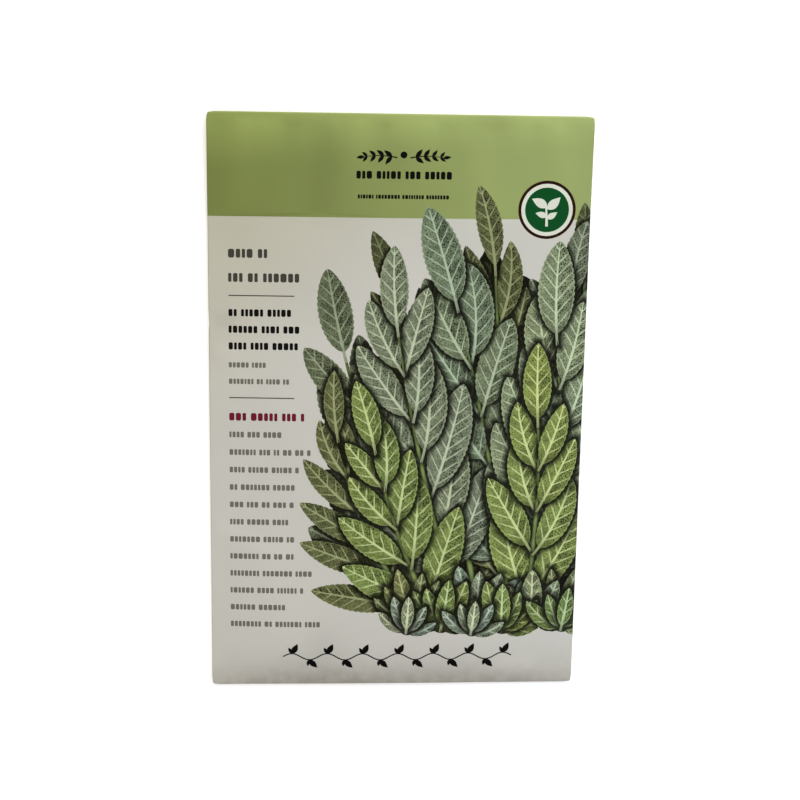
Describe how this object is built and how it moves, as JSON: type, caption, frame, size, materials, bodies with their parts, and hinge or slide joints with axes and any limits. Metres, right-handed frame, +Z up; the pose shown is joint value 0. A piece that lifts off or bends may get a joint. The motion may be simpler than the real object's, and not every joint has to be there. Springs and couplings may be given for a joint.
{
  "type": "seed packet",
  "caption": "Flat rectangular paper packet with folded edges, a glued side seam and glued end flaps, sealed round loose plant seeds.",
  "frame": {"origin": "on the resting surface, under the middle of the packet lying on its back", "axes": "+X across the packet to the right as its front is read, +Y towards the packet's top edge, +Z up out of the printed front"},
  "size_m": [0.095, 0.148, 0.0037],
  "materials": {
    "printed_paper": "coated printed paper with a satin sheen",
    "glue": "thin dried adhesive",
    "seed_coat": "dry matt brown seed coat"
  },
  "bodies": {
    "root": {"envelope": "printed_paper", "side_seam_glue": "glue", "bottom_flap_glue": "glue", "top_flap_glue": "glue", "seed_01": "seed_coat", "seed_02": "seed_coat", "seed_03": "seed_coat", "seed_04": "seed_coat", "seed_05": "seed_coat", "seed_06": "seed_coat", "seed_07": "seed_coat", "seed_08": "seed_coat", "seed_09": "seed_coat", "seed_10": "seed_coat", "seed_11": "seed_coat", "seed_12": "seed_coat", "seed_13": "seed_coat", "seed_14": "seed_coat", "seed_15": "seed_coat", "seed_16": "seed_coat", "seed_17": "seed_coat", "seed_18": "seed_coat", "seed_19": "seed_coat", "seed_20": "seed_coat", "seed_21": "seed_coat", "seed_22": "seed_coat", "seed_23": "seed_coat", "seed_24": "seed_coat", "seed_25": "seed_coat"}
  },
  "joints": []
}
